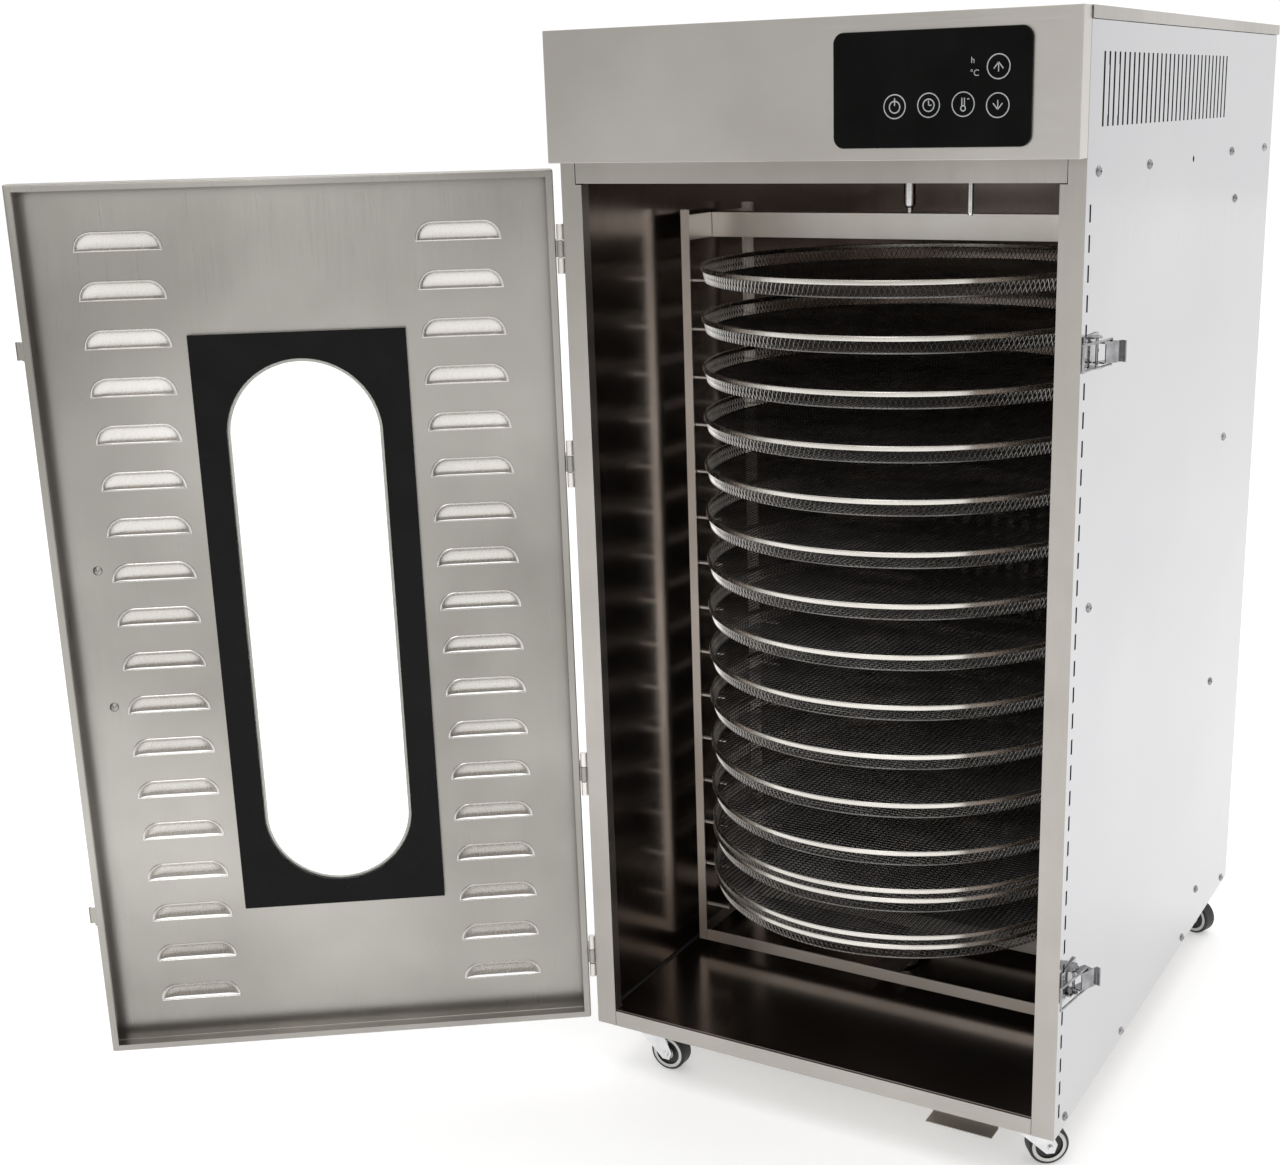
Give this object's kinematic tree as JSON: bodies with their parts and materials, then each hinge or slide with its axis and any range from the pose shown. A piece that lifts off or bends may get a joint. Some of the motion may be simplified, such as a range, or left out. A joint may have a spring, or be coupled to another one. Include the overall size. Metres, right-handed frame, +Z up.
{
  "type": "food dehydrator",
  "caption": "Tall stainless food dehydrator on casters: turning rack of round mesh trays, louvred door with window and toggle latches, touch panel in the header, fan and heater behind.",
  "frame": {"origin": "on the floor, under the middle of the bounding box of the machine as it stands with its door open", "axes": "+Z up; the door side faces -Y, the back faces +Y; +X is to the right of a person facing the door side"},
  "size_m": [0.9516, 0.969, 1.058],
  "materials": {
    "polished_steel": "polished stainless sheet, faint vertical grain",
    "brushed_steel": "satin stainless sheet, fine directional grain",
    "mirror_steel": "mirror stainless sheet",
    "bright_plate": "bright plated steel",
    "tyre": "smooth black rubber tread on a grey hub",
    "tray_mesh": "woven stainless wire cloth in a flat bright band",
    "dark_glass": "black printed gloss glass",
    "circuit_board": "green lacquered board",
    "black_plastic": "moulded black plastic",
    "heater_sheath": "heat-tinted metal sheath"
  },
  "bodies": {
    "cabinet": {"left_panel": "polished_steel", "right_panel": "polished_steel", "back_panel": "brushed_steel", "top_cover": "polished_steel", "bottom_pan": "brushed_steel", "top_rail": "brushed_steel", "header_fascia": "brushed_steel", "control_glass": "dark_glass", "control_board": "circuit_board", "liner_wrap": "mirror_steel", "liner_floor": "mirror_steel", "liner_roof": "mirror_steel", "pivot_pin": "bright_plate", "temperature_probe": "bright_plate", "turntable_motor": "black_plastic", "fan_motor": "black_plastic", "heater": "heater_sheath", "mains_inlet": "black_plastic", "hinge_1": "brushed_steel", "hinge_2": "brushed_steel", "hinge_3": "brushed_steel", "hinge_4": "brushed_steel", "latch_base_upper": "bright_plate", "latch_base_lower": "bright_plate"},
    "rack": {"rack_side_left": "brushed_steel", "rack_side_right": "brushed_steel", "rack_top_bar": "brushed_steel", "rack_base": "brushed_steel"},
    "door": {"door_pan": "brushed_steel", "door_glass": "dark_glass", "door_handle": "bright_plate"},
    "impeller": {"fan_impeller": "black_plastic"},
    "tray_01": {"tray_01": "tray_mesh"},
    "tray_02": {"tray_02": "tray_mesh"},
    "tray_03": {"tray_03": "tray_mesh"},
    "tray_04": {"tray_04": "tray_mesh"},
    "tray_05": {"tray_05": "tray_mesh"},
    "tray_06": {"tray_06": "tray_mesh"},
    "tray_07": {"tray_07": "tray_mesh"},
    "tray_08": {"tray_08": "tray_mesh"},
    "tray_09": {"tray_09": "tray_mesh"},
    "tray_10": {"tray_10": "tray_mesh"},
    "tray_11": {"tray_11": "tray_mesh"},
    "tray_12": {"tray_12": "tray_mesh"},
    "tray_13": {"tray_13": "tray_mesh"},
    "tray_14": {"tray_14": "tray_mesh"},
    "tray_15": {"tray_15": "tray_mesh"},
    "tray_16": {"tray_16": "tray_mesh"},
    "latch_lever_upper": {"latch_lever_upper": "bright_plate"},
    "latch_bail_upper": {"latch_bail_upper": "bright_plate"},
    "latch_lever_lower": {"latch_lever_lower": "bright_plate"},
    "latch_bail_lower": {"latch_bail_lower": "bright_plate"},
    "caster_front_left": {"caster_fork_front_left": "bright_plate"},
    "wheel_front_left": {"caster_wheel_front_left": "tyre"},
    "caster_front_right": {"caster_fork_front_right": "bright_plate"},
    "wheel_front_right": {"caster_wheel_front_right": "tyre"},
    "caster_rear_left": {"caster_fork_rear_left": "bright_plate"},
    "wheel_rear_left": {"caster_wheel_rear_left": "tyre"},
    "caster_rear_right": {"caster_fork_rear_right": "bright_plate"},
    "wheel_rear_right": {"caster_wheel_rear_right": "tyre"}
  },
  "joints": [
    {"name": "door_hinge", "type": "hinge", "parent": "cabinet", "child": "door", "pos_m": [-0.05346, -0.19609, 0.4995], "axis": [0, 0, -1], "range_deg": [-144.75, 25]},
    {"name": "rack_turn", "type": "hinge", "parent": "cabinet", "child": "rack", "pos_m": [0.20014, 0.0405, 0.488], "axis": [0, 0, 1], "range_deg": [-360, 360]},
    {"name": "fan_spin", "type": "hinge", "parent": "cabinet", "child": "impeller", "pos_m": [0.20014, 0.3365, 0.488], "axis": [0, 1, 0], "continuous": true},
    {"name": "tray_01_slide", "type": "slide", "parent": "rack", "child": "tray_01", "axis": [0, -1, 0], "range_m": [0, 0.45]},
    {"name": "tray_02_slide", "type": "slide", "parent": "rack", "child": "tray_02", "axis": [0, -1, 0], "range_m": [0, 0.45]},
    {"name": "tray_03_slide", "type": "slide", "parent": "rack", "child": "tray_03", "axis": [0, -1, 0], "range_m": [0, 0.45]},
    {"name": "tray_04_slide", "type": "slide", "parent": "rack", "child": "tray_04", "axis": [0, -1, 0], "range_m": [0, 0.45]},
    {"name": "tray_05_slide", "type": "slide", "parent": "rack", "child": "tray_05", "axis": [0, -1, 0], "range_m": [0, 0.45]},
    {"name": "tray_06_slide", "type": "slide", "parent": "rack", "child": "tray_06", "axis": [0, -1, 0], "range_m": [0, 0.45]},
    {"name": "tray_07_slide", "type": "slide", "parent": "rack", "child": "tray_07", "axis": [0, -1, 0], "range_m": [0, 0.45]},
    {"name": "tray_08_slide", "type": "slide", "parent": "rack", "child": "tray_08", "axis": [0, -1, 0], "range_m": [0, 0.45]},
    {"name": "tray_09_slide", "type": "slide", "parent": "rack", "child": "tray_09", "axis": [0, -1, 0], "range_m": [0, 0.45]},
    {"name": "tray_10_slide", "type": "slide", "parent": "rack", "child": "tray_10", "axis": [0, -1, 0], "range_m": [0, 0.45]},
    {"name": "tray_11_slide", "type": "slide", "parent": "rack", "child": "tray_11", "axis": [0, -1, 0], "range_m": [0, 0.45]},
    {"name": "tray_12_slide", "type": "slide", "parent": "rack", "child": "tray_12", "axis": [0, -1, 0], "range_m": [0, 0.45]},
    {"name": "tray_14_slide", "type": "slide", "parent": "rack", "child": "tray_14", "axis": [0, -1, 0], "range_m": [0, 0.45]},
    {"name": "tray_13_lift", "type": "slide", "parent": "tray_14", "child": "tray_13", "axis": [0, 0, 1], "range_m": [0, 0.015]},
    {"name": "tray_16_slide", "type": "slide", "parent": "rack", "child": "tray_16", "axis": [0, -1, 0], "range_m": [0, 0.45]},
    {"name": "tray_15_lift", "type": "slide", "parent": "tray_16", "child": "tray_15", "axis": [0, 0, 1], "range_m": [0, 0.015]},
    {"name": "latch_lever_upper_hinge", "type": "hinge", "parent": "cabinet", "child": "latch_lever_upper", "pos_m": [0.45543, -0.1695, 0.786], "axis": [0, 0, -1], "range_deg": [-24, 80]},
    {"name": "latch_bail_upper_hinge", "type": "hinge", "parent": "latch_lever_upper", "child": "latch_bail_upper", "pos_m": [0.46488, -0.16057, 0.786], "axis": [0, 0, -1], "range_deg": [-91, 28]},
    {"name": "latch_lever_lower_hinge", "type": "hinge", "parent": "cabinet", "child": "latch_lever_lower", "pos_m": [0.45543, -0.1695, 0.213], "axis": [0, 0, -1], "range_deg": [-24, 80]},
    {"name": "latch_bail_lower_hinge", "type": "hinge", "parent": "latch_lever_lower", "child": "latch_bail_lower", "pos_m": [0.46488, -0.16057, 0.213], "axis": [0, 0, -1], "range_deg": [-91, 28]},
    {"name": "caster_swivel_front_left", "type": "hinge", "parent": "cabinet", "child": "caster_front_left", "pos_m": [-0.00787, -0.15349, 0.05], "axis": [0, 0, 1], "continuous": true},
    {"name": "wheel_spin_front_left", "type": "hinge", "parent": "caster_front_left", "child": "wheel_front_left", "pos_m": [0.01413, -0.15349, 0.02], "axis": [0, 1, 0], "continuous": true},
    {"name": "caster_swivel_front_right", "type": "hinge", "parent": "cabinet", "child": "caster_front_right", "pos_m": [0.40814, -0.15349, 0.05], "axis": [0, 0, 1], "continuous": true},
    {"name": "wheel_spin_front_right", "type": "hinge", "parent": "caster_front_right", "child": "wheel_front_right", "pos_m": [0.42571, -0.14025, 0.02], "axis": [-0.6018, 0.7986, 0], "continuous": true},
    {"name": "caster_swivel_rear_left", "type": "hinge", "parent": "cabinet", "child": "caster_rear_left", "pos_m": [-0.00787, 0.42251, 0.05], "axis": [0, 0, 1], "continuous": true},
    {"name": "wheel_spin_rear_left", "type": "hinge", "parent": "caster_rear_left", "child": "wheel_rear_left", "pos_m": [-0.02854, 0.43003, 0.02], "axis": [-0.342, -0.9397, 0], "continuous": true},
    {"name": "caster_swivel_rear_right", "type": "hinge", "parent": "cabinet", "child": "caster_rear_right", "pos_m": [0.40814, 0.42251, 0.05], "axis": [0, 0, 1], "continuous": true},
    {"name": "wheel_spin_rear_right", "type": "hinge", "parent": "caster_rear_right", "child": "wheel_rear_right", "pos_m": [0.42881, 0.41498, 0.02], "axis": [0.342, 0.9397, 0], "continuous": true}
  ],
  "couplings": [
    {"joint": "latch_bail_upper_hinge", "follows": "latch_lever_upper_hinge", "ratio": -1.1125},
    {"joint": "latch_bail_lower_hinge", "follows": "latch_lever_lower_hinge", "ratio": -1.1125}
  ]
}
